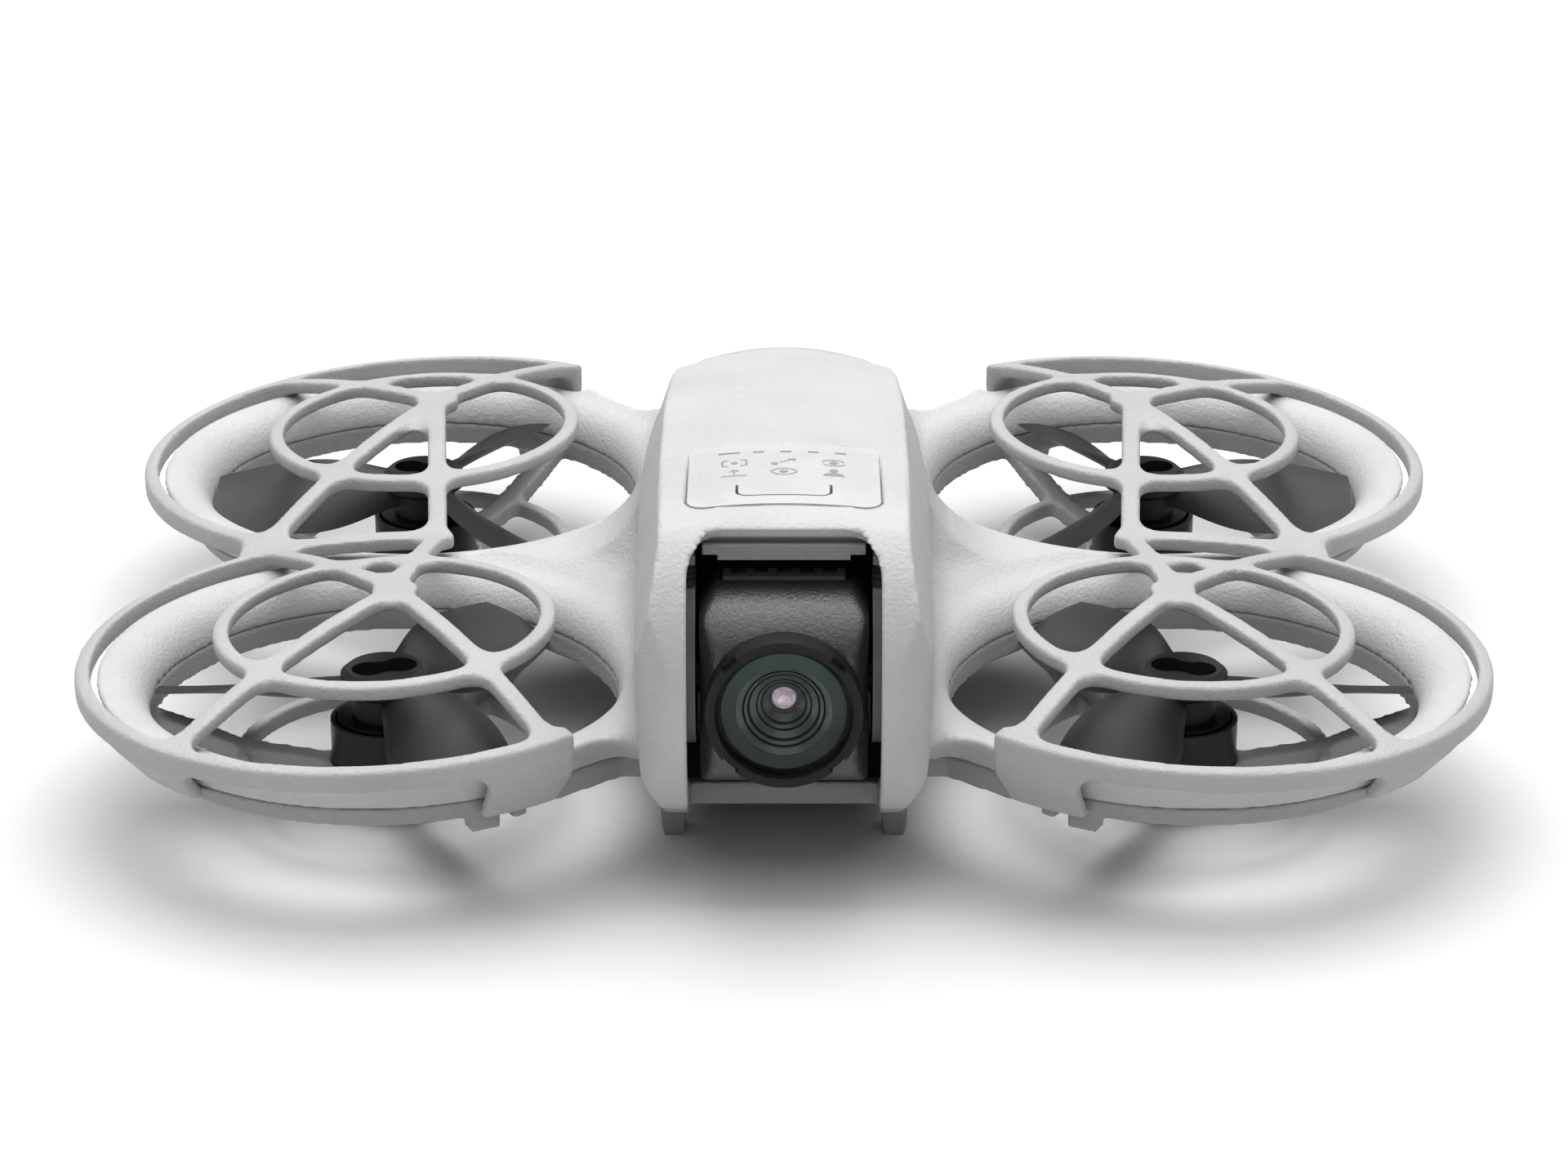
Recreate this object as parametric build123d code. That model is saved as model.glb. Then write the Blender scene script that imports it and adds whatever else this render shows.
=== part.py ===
from build123d import *
import os
from math import cos, sin, radians

# A palm-sized quadcopter with four ducted propellers, clip-on guards over the
# ducts, a nose camera that tilts, and a battery that slides out of the tail.
# Millimetres. Origin on the ground under the middle of the airframe,
# +Z up, +Y towards the tail, +X towards the right-hand ducts.

# ---- driving dimensions ----
ROTOR_X, ROTOR_Y = 44.4, 30.9        # rotor axes from the middle
THROAT_R = 26.0                      # duct throat
DUCT_BOTTOM, PARTING, LIP_TOP = 10.0, 12.75, 17.0
LIP_R, WALL_R = 31.8, 29.4           # outside of the duct's rolled lip, and of its wall at the parting
RIDGE_TOP = 18.2                     # web between the front and rear ducts
GUARD_R = 34.1                       # outside of the guard's outer ring
GUARD_RING, GUARD_STRIP = 1.7, 1.7   # width of the outer ring, height of a rib
NOSE_Y, TAIL_Y = -60.2, 58.8         # ends of the fuselage
WALL, ROOF = 1.6, 2.0                # fuselage wall and roof thickness
BATTERY_SPLIT = 48.2                 # where the tail cap of the battery begins
WINDOW_HALF, WINDOW_TOP = 10.25, 40.9
BAY_CEILING = 38.6                   # roof of the camera bay, behind the window's stepped rim
SILL_Y = -45.0
PIVOT_Y, PIVOT_Z = -48.0, 23.2       # camera tilt axis
CAMERA_HALF = 9.0                    # half width of the camera housing
CUP_R, CUP_TOP = 6.2, 10.5           # motor cup
MOTOR_BASE = 1.2
HUB_TOP = 16.5
BLADE_TIP_R = 25.5
FOOT_X, FOOT_FRONT_Y, FOOT_REAR_Y = 12.2, -38.0, 40.0

# Each rotor: name, side (-1 left), end (-1 front), first blade angle, hand of the blades
ROTORS = [
    ("front_left", -1, -1, 57, 1),
    ("front_right", 1, -1, 123, -1),
    ("rear_left", -1, 1, 65, -1),
    ("rear_right", 1, 1, 115, 1),
]

nodes = {}


# ---- shape helpers ----
def box(x0, x1, y0, y1, z0, z1):
    """Box between two corners."""
    return Pos((x0 + x1) / 2, (y0 + y1) / 2, (z0 + z1) / 2) * Box(x1 - x0, y1 - y0, z1 - z0)


def rod(radius, z0, z1, x=0.0, y=0.0):
    """Upright cylinder."""
    return Pos(x, y, (z0 + z1) / 2) * Cylinder(radius, z1 - z0)


def rod_x(radius, x0, x1, y, z):
    """Cylinder lying along X."""
    return Pos((x0 + x1) / 2, y, z) * Rot(0, 90, 0) * Cylinder(radius, x1 - x0)


def rod_y(radius, y0, y1, x, z):
    """Cylinder lying along Y."""
    return Pos(x, (y0 + y1) / 2, z) * Rot(90, 0, 0) * Cylinder(radius, y1 - y0)


def plate_yz(outline, x0, x1):
    """Outline in Y and Z, extruded along X."""
    return extrude(Plane.YZ.offset(x0) * outline, amount=x1 - x0)


def plate_xz(outline, y0, y1):
    """Outline in X and Z, extruded along Y."""
    plane = Plane(origin=(0, y1, 0), x_dir=(1, 0, 0), z_dir=(0, -1, 0))
    return extrude(plane * outline, amount=y1 - y0)


def plate_xy(outline, z0, z1):
    """Outline in X and Y, extruded upward."""
    return extrude(Plane.XY.offset(z0) * outline, amount=z1 - z0)


def polygon(*points):
    return make_face(Polyline(*points, close=True))


def turned(*points):
    """Solid of revolution about Z from radius and height points."""
    return revolve(Plane.XZ * polygon(*points), axis=Axis.Z)


def rounded_rect(width, height, radius):
    return RectangleRounded(width, height, radius)


def mirrored(shape):
    return mirror(shape, about=Plane.YZ)


def pair(shape):
    """A left-hand shape and its mirror image, as separate solids."""
    return Compound([*shape.solids(), *mirrored(shape).solids()])


def group(*shapes):
    """Separate solids kept in one node."""
    return Compound([solid for shape in shapes for solid in shape.solids()])


def fused(shapes):
    first, *rest = shapes
    return first + rest


def rotor_place(side, end):
    return Pos(side * ROTOR_X, end * ROTOR_Y, 0)


# ---- fuselage ----
# y, then half width and height of: belly edge, flank, crease, roof edge; then crown height
STATIONS = [
    (-62.0, (10.4, 3.0), (15.0, 14.6), (15.2, 27.0), (12.9, 40.4), 41.6),
    (-44.0, (11.2, 3.0), (16.0, 14.2), (16.0, 28.5), (13.4, 40.8), 42.0),
    (-26.0, (12.6, 3.0), (16.4, 12.2), (16.3, 29.0), (13.6, 39.9), 41.2),
    (0.0, (13.0, 3.0), (16.4, 11.0), (16.4, 28.0), (13.5, 37.6), 39.1),
    (17.0, (13.0, 3.0), (16.4, 11.0), (16.0, 26.0), (13.0, 34.2), 35.9),
    (31.0, (12.6, 3.0), (16.0, 11.0), (15.5, 23.5), (12.2, 29.7), 31.5),
    (46.0, (11.6, 3.0), (14.8, 11.0), (14.4, 20.0), (11.0, 24.8), 26.6),
    (60.0, (10.0, 3.0), (12.8, 11.0), (12.6, 16.5), (9.4, 20.0), 21.6),
]


def fuselage_loft(side_inset=0.0, roof_inset=0.0):
    sections = []
    for y, belly, flank, crease, edge, crown in STATIONS:
        right = [
            (belly[0] - side_inset, belly[1]),
            (flank[0] - side_inset, flank[1]),
            (crease[0] - side_inset, crease[1]),
            (edge[0] - side_inset, edge[1] - roof_inset),
        ]
        left = [(-x, z) for x, z in right]
        outline = Polyline(*right)
        outline += ThreePointArc(right[3], (0, crown - roof_inset), left[3])
        outline += Polyline(*reversed(left))
        outline += Line(left[0], right[0])
        plane = Plane(origin=(0, y, 0), x_dir=(1, 0, 0), z_dir=(0, -1, 0))
        sections.append(plane * make_face(outline))
    return loft(sections)


def side_profile():
    """Nose, belly and tail seen from the side; open above the roof."""
    outline = Line((-47.0, 50.0), (-47.0, 42.1))
    outline += ThreePointArc((-47.0, 42.1), (-56.6, 36.6), (NOSE_Y, 25.5))
    outline += ThreePointArc((NOSE_Y, 25.5), (-58.0, 14.6), (-50.0, 7.6))
    outline += Line((-50.0, 7.6), (SILL_Y, 6.15))
    outline += Line((SILL_Y, 6.15), (-30.0, 3.6))
    outline += Line((-30.0, 3.6), (46.0, 3.6))
    outline += ThreePointArc((46.0, 3.6), (55.4, 5.6), (TAIL_Y, 10.5))
    outline += Line((TAIL_Y, 10.5), (TAIL_Y, 50.0))
    outline += Line((TAIL_Y, 50.0), (-47.0, 50.0))
    return make_face(outline)


def plan_profile():
    """Corners of the nose and the tail, rounded as seen from above."""
    wide = 20.0
    outline = Line((-10.8, NOSE_Y - 0.4), (10.8, NOSE_Y - 0.4))
    outline += ThreePointArc((10.8, NOSE_Y - 0.4), (14.2, -58.4), (15.7, -54.0))
    outline += Line((15.7, -54.0), (wide, -40.0))
    outline += Line((wide, -40.0), (wide, 46.0))
    outline += Line((wide, 46.0), (13.2, 54.6))
    outline += ThreePointArc((13.2, 54.6), (11.6, 57.8), (8.4, TAIL_Y + 0.2))
    outline += Line((8.4, TAIL_Y + 0.2), (-8.4, TAIL_Y + 0.2))
    outline += ThreePointArc((-8.4, TAIL_Y + 0.2), (-11.6, 57.8), (-13.2, 54.6))
    outline += Line((-13.2, 54.6), (-wide, 46.0))
    outline += Line((-wide, 46.0), (-wide, -40.0))
    outline += Line((-wide, -40.0), (-15.7, -54.0))
    outline += ThreePointArc((-15.7, -54.0), (-14.2, -58.4), (-10.8, NOSE_Y - 0.4))
    return make_face(outline)


hull = fuselage_loft() & plate_yz(side_profile(), -20, 20) & plate_xy(plan_profile(), 0, 50)


def cavity_profile():
    """Inside of the fuselage seen from the side; its nose keeps the wall's thickness."""
    outline = ThreePointArc((-52.7, 11.0), (-57.0, 16.1), (-58.6, 25.5))
    outline += ThreePointArc((-58.6, 25.5), (-56.6, 33.3), (-51.6, BAY_CEILING))
    outline += Polyline(
        (-51.6, BAY_CEILING), (-44.8, BAY_CEILING), (-44.8, 46.0), (BATTERY_SPLIT, 46.0),
        (BATTERY_SPLIT, 5.1), (-30.0, 5.1), (SILL_Y + 1.5, 7.65), (SILL_Y + 1.5, 8.8),
        (SILL_Y, 8.8), (-46.5, 10.2), (-52.7, 11.0))
    return make_face(outline)


cavity = fuselage_loft(WALL, ROOF) & plate_yz(cavity_profile(), -20, 20)
above_parting = plate_yz(
    polygon((-64, 9.6), (-50, 9.6), (-41.5, PARTING), (64, PARTING), (64, 60), (-64, 60)), -30, 30
)
ahead_of_battery = box(-30, 30, -70, BATTERY_SPLIT, -5, 60)


def window_cut(half_width, top, radius, back):
    """Opening in the nose with rounded upper corners, cut back to one depth."""
    outline = Pos(0, top / 2 - 5) * rounded_rect(2 * half_width, top + 10, radius)
    return plate_xz(outline, -75, back)


window = window_cut(WINDOW_HALF, WINDOW_TOP, 4.0, -50.6)
window = window + window_cut(WINDOW_HALF, 39.7, 3.4, -49.6)
window = window + window_cut(WINDOW_HALF, BAY_CEILING, 3.0, SILL_Y)

# ---- ducts ----
flare_outline = Line((0, -5), (THROAT_R, -5)) + Line((THROAT_R, -5), (THROAT_R, 12.9))
flare_outline += ThreePointArc((THROAT_R, 12.9), (27.3, 15.7), (30.4, LIP_TOP))
flare_outline += Line((30.4, LIP_TOP), (34.5, 19.2)) + Line((34.5, 19.2), (38.0, 24.0))
flare_outline += Line((38.0, 24.0), (38.0, 40.0)) + Line((38.0, 40.0), (0, 40.0)) + Line((0, 40.0), (0, -5))
flare = revolve(Plane.XZ * make_face(flare_outline), axis=Axis.Z)
flares = [rotor_place(side, end) * flare for _, side, end, _, _ in ROTORS]

upper_ring = turned((24, PARTING), (24, LIP_TOP), (LIP_R - 0.4, LIP_TOP), (LIP_R, LIP_TOP - 0.4),
                    (WALL_R, PARTING))
lower_ring = turned((THROAT_R, DUCT_BOTTOM), (27.7, DUCT_BOTTOM), (28.2, 10.5),
                    (WALL_R, PARTING), (THROAT_R, PARTING))


def web_outline(ridge_end, ridge, foot_x, top_x, top_z):
    """Left-hand web seen from the front: a flat ridge that sweeps up to the flank."""
    start = (ridge_end, PARTING)
    outline = Line(start, (ridge_end, LIP_TOP)) + Line((ridge_end, LIP_TOP), (ridge_end + 7, ridge))
    outline += Line((ridge_end + 7, ridge), (foot_x, ridge))
    middle = (foot_x + 0.72 * (top_x - foot_x), ridge + 0.3 * (top_z - ridge))
    outline += ThreePointArc((foot_x, ridge), middle, (top_x, top_z))
    outline += Line((top_x, top_z), (-13.5, top_z)) + Line((-13.5, top_z), (-13.5, PARTING))
    outline += Line((-13.5, PARTING), start)
    return make_face(outline)


web_plan = polygon((-45.0, -30.9), (-24.9, -52.4), (-17.8, -46.3), (-13.5, -46.0),
                   (-13.5, 46.4), (-17.0, 47.4), (-25.0, 56.6), (-45.0, 30.9))
saddle = plate_xz(web_outline(-46.0, RIDGE_TOP, -29.0, -16.0, 29.0), -24, 24)
front_arm = plate_xz(web_outline(-46.0, 16.6, -21.5, -15.9, 23.0), -56, -24)
rear_arm = plate_xz(web_outline(-46.0, 17.6, -24.0, -14.6, 22.5), 24, 60)
webs = (saddle + front_arm + rear_arm) & plate_xy(web_plan, 0, 40)

# ---- upper shell ----
ducts_upper = fused([rotor_place(side, end) * upper_ring for _, side, end, _, _ in ROTORS])
ducts_upper = (ducts_upper + webs + mirrored(webs)) - flares
upper_shell = ducts_upper + (hull & above_parting & ahead_of_battery)
upper_shell = upper_shell - cavity - window
tail_space = box(-16.2, 16.2, BATTERY_SPLIT, 64, 0, 60)
upper_shell = upper_shell - tail_space

PANEL_WIDTH, PANEL_FRONT, PANEL_REAR, PANEL_FLOOR = 20.7, -46.2, -26.2, 40.0
panel_y = (PANEL_FRONT + PANEL_REAR) / 2
panel_depth = PANEL_REAR - PANEL_FRONT
panel_prism = plate_xy(Pos(0, panel_y) * rounded_rect(PANEL_WIDTH, panel_depth, 2.2), PANEL_FLOOR, 45)
recess_outline = Pos(0, panel_y) * rounded_rect(PANEL_WIDTH + 0.3, panel_depth + 0.3, 2.35)
upper_shell = upper_shell - plate_xy(recess_outline, PANEL_FLOOR, 45)
upper_shell = upper_shell - box(-8.6, 8.6, PANEL_FRONT + 1.6, PANEL_REAR - 2.0, 30, 45)

SCREW_PLACES = [
    (side * x, y) for side in (-1, 1) for x, y in ((21.0, -45.6), (26.0, 0.0), (21.2, 48.6))]
for x, y in SCREW_PLACES:
    upper_shell = upper_shell - rod(0.8, 12, 15.0, x, y)

# slots low in the flanks beside the rear ducts, and fine vents beside the nose
for side in (-1, 1):
    slot = rounded_rect(6.2, 2.6, 1.2)
    upper_shell = upper_shell - plate_yz(Pos(27.6, 15.6) * slot, side * 16.9 - 4, side * 16.9 + 4)
    for step in range(4):
        vent = rounded_rect(0.8, 3.2, 0.35)
        vent = Pos(-51.5 + 1.7 * step, 26.5) * vent
        upper_shell = upper_shell - plate_yz(vent, side * 15 - 3, side * 15 + 3)
nodes["upper_shell"] = upper_shell


# ---- lower frame ----
def arm(angle):
    """Spoke from the motor cup out to the duct wall."""
    outline = polygon((5.9, 3.4), (16.0, 5.0), (21.6, 7.4), (THROAT_R + 0.8, DUCT_BOTTOM),
                      (THROAT_R + 0.8, 11.0), (THROAT_R - 0.6, 11.0), (21.6, 9.6), (16.0, 7.2), (5.9, 5.6))
    spoke = plate_xz(outline, -1.4, 1.4)
    return Rot(0, 0, angle) * spoke


ARM_ANGLES = (180, 55, -55)          # on a left-hand rotor; mirrored on the right
LUGS = ((64, 1.7, 8.8), (56, 0.8, 9.3))   # angle, half width and lower end of each lug on the duct wall


def duct_frame(side, end):
    """Lower duct ring with its spokes, arc ring and the seat under the motor cup."""
    angles = ARM_ANGLES if side < 0 else [180 - angle for angle in ARM_ANGLES]
    frame = lower_ring + [arm(angle) for angle in angles]
    frame = frame - rod(CUP_R, 0, 12)
    arc_ring = rod(17.4, 5.0, 7.0) - rod(16.0, 4.0, 8.0)
    frame = frame + Pos(-side * 0.6, 0, 0) * arc_ring
    frame = frame + (rod(CUP_R + 0.8, 3.4, 5.6) - rod(CUP_R, 3.0, 6.0))
    for angle, half_width, low in LUGS:
        lug_angle = end * angle if side < 0 else 180 - end * angle
        frame = frame + Rot(0, 0, lug_angle) * box(26.6, 29.0, -half_width, half_width, low, 11.6)
    return rotor_place(side, end) * frame


def foot(x, y, top):
    """Tapered foot, its flat end on the ground."""
    flare_end = Plane.XY.offset(top) * Pos(x, y) * Rectangle(3.4, 4.4)
    ground_end = Plane.XY * Pos(x, y) * Rectangle(2.6, 3.2)
    return loft([ground_end.face(), flare_end.face()])


feet = [foot(side * FOOT_X, y, top) for side in (-1, 1)
        for y, top in ((FOOT_FRONT_Y, 9.0), (FOOT_REAR_Y, 4.6))]
throats = [rotor_place(side, end) * rod(THROAT_R, -5, 40) for _, side, end, _, _ in ROTORS]
lower_web = plate_xy(web_plan, DUCT_BOTTOM, PARTING) & box(-44.0, -13.5, -60, 60, 0, 20)
lower_web = (lower_web + mirrored(lower_web)) - throats
belly = (hull - above_parting) & ahead_of_battery
lower_frame = fused([belly, lower_web] + feet + [duct_frame(side, end) for _, side, end, _, _ in ROTORS])
rail = box(7.6, 9.0, 0, BATTERY_SPLIT, 4.5, 8.4)
lower_frame = (lower_frame - cavity - window - tail_space) + [rail, mirrored(rail)]


VENTS = 6
VENT_PITCH = 4.0
for index in range(VENTS):
    vent_y = 2 + VENT_PITCH * index
    lower_frame = lower_frame - box(-6, 6, vent_y, vent_y + 1.6, 3, 6)
SENSOR_Y = -16.0
lower_frame = lower_frame - rod(3.6, 3, 6, -4.5, SENSOR_Y)
lower_frame = lower_frame - box(1.5, 8.5, SENSOR_Y - 2, SENSOR_Y + 2, 3, 6)
for x, y in SCREW_PLACES:
    lower_frame = lower_frame - rod(1.6, 9, 11.0, x, y) - rod(0.85, 9, 13, x, y)
lower_frame = lower_frame - upper_shell
nodes["lower_frame"] = lower_frame


# ---- propeller guards ----
HUB_FRONT, HUB_REAR = (-43.5, -24.5), (-43.0, 37.0)
NODE_A, NODE_G = (-61.5, 0.0), (-40.5, 0.0)
GUARD_MID = GUARD_R - GUARD_RING / 2
DOME_TOP, DOME_R, DOME_SHIFT = 23.7, 128.0, 5.0


def strip(start, end, width):
    """Straight rib seen from above, tall enough to be trimmed by the dome."""
    along = (Vector(*end) - Vector(*start)).normalized()
    across = Vector(-along.Y, along.X) * (width / 2)
    corners = [Vector(*start) + across, Vector(*end) + across, Vector(*end) - across, Vector(*start) - across]
    return extrude(polygon(*corners), amount=30.0)


def on_ring(end, angle, radius=GUARD_MID):
    """Point at an angle round a left-hand rotor."""
    return (-ROTOR_X + radius * cos(radians(angle)), end * ROTOR_Y + radius * sin(radians(angle)))


def sector(start, stop, radius=60.0):
    """Wedge of a circle, used to keep part of a ring; angles in degrees, counter-clockwise."""
    steps = [start + (stop - start) * k / 4 for k in range(5)]
    rim = [(radius * cos(radians(a)), radius * sin(radians(a))) for a in steps]
    return extrude(polygon((0, 0), *rim), amount=40)


def dome_shell(end, thickness):
    """Shallow dome over one duct, of even height, that the ribs are trimmed to."""
    centre = (-ROTOR_X + DOME_SHIFT, end * ROTOR_Y, DOME_TOP - DOME_R)
    outer = Pos(*centre) * Sphere(DOME_R)
    inner = Pos(centre[0], centre[1], centre[2] - thickness) * Sphere(DOME_R)
    half = box(-85, -10, -70, 0, 8, 30) if end < 0 else box(-85, -10, 0, 70, 8, 30)
    return (outer & half) - inner


def clip(end, start, stop, low):
    """Tab that hooks down over the outside of the duct wall."""
    tab = turned((32.4, 22.0), (32.4, 15.9), (30.0, low + 1.3), (29.3, low), (30.7, low),
                 (33.7, 15.0), (GUARD_R, 17.0), (GUARD_R, 22.0))
    return Pos(-ROTOR_X, end * ROTOR_Y, 0) * (tab & sector(start, stop)) & dome_shell(end, 12)


def guard_half(end, hub, clip_b, clip_c, ring_sector, spokes):
    centre = Pos(-ROTOR_X, end * ROTOR_Y, 0)
    inner_ring = centre * (rod(19.0, 0, 30, 0.2) - rod(17.2, -1, 31, 0.2))
    network = inner_ring + [strip(hub, target, 2.2) for target in spokes] + rod(2.6, 0, 30, *hub)
    network = network + strip(NODE_A, NODE_G, 2.6) + rod(2.4, 0, 30, *NODE_A) + rod(1.9, 0, 30, *NODE_G)
    thin = network & dome_shell(end, GUARD_STRIP)
    band = centre * ((rod(GUARD_R, 0, 30) - rod(GUARD_R - GUARD_RING, -1, 31)) & sector(*ring_sector))
    band = band & dome_shell(end, 2.4)
    tabs = [clip(end, *clip_b), clip(end, *clip_c)]
    return thin + band + tabs


front_guard = guard_half(
    -1, HUB_FRONT, (218, 234, 11.6), (294, 311, 11.0), (111.5, 311),
    [on_ring(-1, 232), on_ring(-1, 306), NODE_A, NODE_G])
rear_guard = guard_half(
    1, HUB_REAR, (126, 142, 11.6), (57, 73, 11.0), (57, 248.5),
    [on_ring(1, 128), on_ring(1, 60), NODE_A, NODE_G])
guard_left = front_guard + rear_guard
nodes["guard_left"] = guard_left
nodes["guard_right"] = mirrored(guard_left)


# ---- motors ----
SHAFT_R, BEARING_BORE, BEARING_R = 0.75, 0.78, 1.6
BEARING_LEVELS = (2.3, 7.1)
cup = rod(CUP_R, MOTOR_BASE, CUP_TOP) - rod(5.7, 2.2, CUP_TOP + 1)
tube = rod(2.2, 2.2, 8.6) - rod(BEARING_R, 2.2, 8.6)
slots = [Rot(0, 0, 40 * k) * box(2.9, 4.1, -0.35, 0.35, 3, 9) for k in range(9)]
core = (rod(4.3, 3.8, 7.4) - rod(2.2, 3, 8)) - slots
windings = [Rot(0, 0, 40 * k) * box(2.95, 4.05, -0.3, 0.3, 3.6, 7.6) for k in range(9)]
stator = group(tube, core, *windings)
bell = rod(5.4, 3.0, 10.9) - rod(4.7, 2.9, 9.9) + rod(1.5, 8.8, 10.5) - rod(SHAFT_R, 8, 12)
SCREW_X = 1.9
screw_axes = [Pos(SCREW_X, 0, 0), Pos(-SCREW_X, 0, 0)]
bell = bell - [place * rod(0.5, 9, 12) for place in screw_axes]
magnets = [Rot(0, 0, 30 * k) * box(4.35, 4.68, -0.9, 0.9, 3.4, 8.4) for k in range(12)]
motor_rotor = group(bell, rod(SHAFT_R, 2.3, 12.0), *magnets)
bearing = rod(BEARING_R, 0, 1.5) - rod(BEARING_BORE, -1, 2)
screw = rod(0.5, 9.9, 12.6) + (rod(1.0, 12.6, 13.3) - box(-0.7, 0.7, -0.14, 0.14, 13.0, 13.4))

# ---- propellers ----
# radius, height of the middle, chord, pitch angle, thickness
BLADE_STATIONS = [
    (2.4, 13.9, 5.0, 38, 1.7),
    (6.0, 13.8, 7.0, 38, 1.5),
    (11.0, 13.4, 10.6, 33, 1.2),
    (17.0, 13.1, 12.0, 26, 1.0),
    (22.0, 13.0, 11.0, 21, 0.8),
    (26.4, 13.0, 8.6, 18, 0.6),
]


def blade(hand):
    """Twisted blade along +X with a lens-shaped section; hand +1 lifts its +Y edge."""
    sections = []
    for radius, height, chord, pitch, thickness in BLADE_STATIONS:
        half = chord / 2
        outline = ThreePointArc((-half, 0), (0, thickness * 0.75), (half, 0))
        outline += ThreePointArc((half, 0), (0, -thickness * 0.25), (-half, 0))
        plane = Plane(origin=(radius, 0, height), x_dir=(0, 1, 0), z_dir=(1, 0, 0))
        sections.append(plane * Rot(0, 0, hand * pitch) * make_face(outline))
    return loft(sections)


hub_blank = turned((0, 10.9), (3.7, 10.9), (3.8, 13.6), (4.9, 14.4),
                   (4.9, 15.9), (4.2, HUB_TOP), (0, HUB_TOP))


def propeller(first_angle, hand):
    blades = [Rot(0, 0, first_angle + 120 * k) * blade(hand) for k in range(3)]
    body = (hub_blank + blades) & rod(BLADE_TIP_R, 5, 20)
    recess = rod(1.9, 12.6, 18, SCREW_X * 0.9, hand * 0.6) + rod(1.9, 12.6, 18, -SCREW_X * 0.9, -hand * 0.6)
    recess = recess + Rot(0, 0, hand * 17) * box(-1.9, 1.9, -1.5, 1.5, 12.6, 18)
    body = body - recess - rod(SHAFT_R, 5, 12.0)
    return body - [place * rod(0.5, 5, 13) for place in screw_axes] - rod(CUP_R + 0.1, 5, 10.9)


for name, side, end, first_angle, hand in ROTORS:
    place = rotor_place(side, end)
    nodes["motor_cup_" + name] = place * cup
    nodes["motor_stator_" + name] = place * stator
    nodes["motor_rotor_" + name] = place * motor_rotor
    nodes["propeller_" + name] = place * propeller(first_angle, hand)
    nodes["propeller_screws_" + name] = group(*[place * at * screw for at in screw_axes])
nodes["motor_bearings"] = group(*[
    rotor_place(side, end) * Pos(0, 0, low) * bearing
    for _, side, end, _, _ in ROTORS for low in BEARING_LEVELS])

# ---- camera ----
housing_outline = Polyline((-48.0, 34.4), (-41.2, 34.2), (-41.2, 13.0), (-53.6, 13.0),
                           (-56.4, 14.6), (-56.4, 29.0))
housing_outline += ThreePointArc((-56.4, 29.0), (-53.9, 32.7), (-48.0, 34.4))
housing_inner = polygon((-55.0, 15.4), (-55.0, 28.6), (-52.8, 31.6), (-47.6, 33.0), (-41.2, 33.0),
                        (-41.2, 14.4), (-53.2, 14.4))
housing_blank = plate_yz(make_face(housing_outline), -CAMERA_HALF, CAMERA_HALF)
housing_plan = Pos(0, -44.2) * rounded_rect(2 * CAMERA_HALF, 24.4, 2.4)
shoulders = polygon((-9.5, 12), (9.5, 12), (9.5, 31.4), (7.2, 34.8), (-7.2, 34.8), (-9.5, 31.4))
inner_shoulders = polygon((-7.7, 12), (7.7, 12), (7.7, 30.6), (6.2, 33.2), (-6.2, 33.2), (-7.7, 30.6))
camera_housing = housing_blank & plate_xz(shoulders, -58, -40) & plate_xy(housing_plan, 10, 40)
camera_housing = camera_housing - (plate_yz(housing_inner, -8, 8) & plate_xz(inner_shoulders, -58, -40))
COMB_Y = (-48.6, -46.0)
comb_seat = box(-6.6, 6.6, COMB_Y[0], COMB_Y[1], 33.4, 36)
camera_housing = camera_housing - rod_y(6.6, -60, -50, 0, PIVOT_Z) - comb_seat
nodes["camera_housing"] = camera_housing
comb = box(-6.5, 6.5, COMB_Y[0] + 0.1, COMB_Y[1] - 0.1, 33.4, 34.5)
for index in range(5):
    notch_x = -4.9 + 2.45 * index
    comb = comb - box(notch_x - 0.75, notch_x + 0.75, COMB_Y[0] + 1.0, COMB_Y[1], 33.9, 35)
nodes["camera_vent_comb"] = comb
cover_side = polygon((-41.2, 13.0), (-41.2, 34.2), (-39.8, 31.6), (-39.8, 15.6))
rear_cover = plate_yz(cover_side, -CAMERA_HALF, CAMERA_HALF)
nodes["camera_rear_cover"] = rear_cover & plate_xz(shoulders, -42, -39)
bezel = rod_y(8.3, -59.5, -56.4, 0, PIVOT_Z) - rod_y(7.3, -59.6, -58.3, 0, PIVOT_Z)
bezel = bezel - rod_y(6.6, -60, -56, 0, PIVOT_Z)
for angle in (45, 135, 225, 315):
    notch = box(7.8, 9, -60, -58.6, -1.0, 1.0)
    bezel = bezel - Pos(0, 0, PIVOT_Z) * Rot(0, angle, 0) * notch
nodes["lens_bezel"] = bezel
nodes["lens_glass"] = rod_y(7.3, -59.2, -58.3, 0, PIVOT_Z)
barrel = rod_y(6.6, -58.2, -44.6, 0, PIVOT_Z)
for radius, back in ((5.6, -57.2), (5.0, -56.6), (4.4, -55.8), (3.8, -54.8), (3.0, -46.0)):
    barrel = barrel - rod_y(radius, -58.3, back, 0, PIVOT_Z)
nodes["lens_barrel"] = barrel
nodes["lens_elements"] = group(*[
    rod_y(radius, front, back, 0, PIVOT_Z)
    for radius, front, back in ((3.8, -56.2, -54.8), (3.0, -53.6, -52.6), (3.0, -50.4, -49.0))])
nodes["image_sensor_board"] = group(
    box(-6.8, 6.8, -43.6, -42.8, 16.6, 29.8), box(-2.6, 2.6, -44.4, -43.6, 21.2, 25.2))
tilt_pin = rod_x(2.0, CAMERA_HALF, 11.0, PIVOT_Y, PIVOT_Z)
tilt_rotor = tilt_pin + rod_x(4.6, 11.0, 12.6, PIVOT_Y, PIVOT_Z)
nodes["tilt_shafts"] = group(mirrored(tilt_pin), tilt_rotor)

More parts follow.
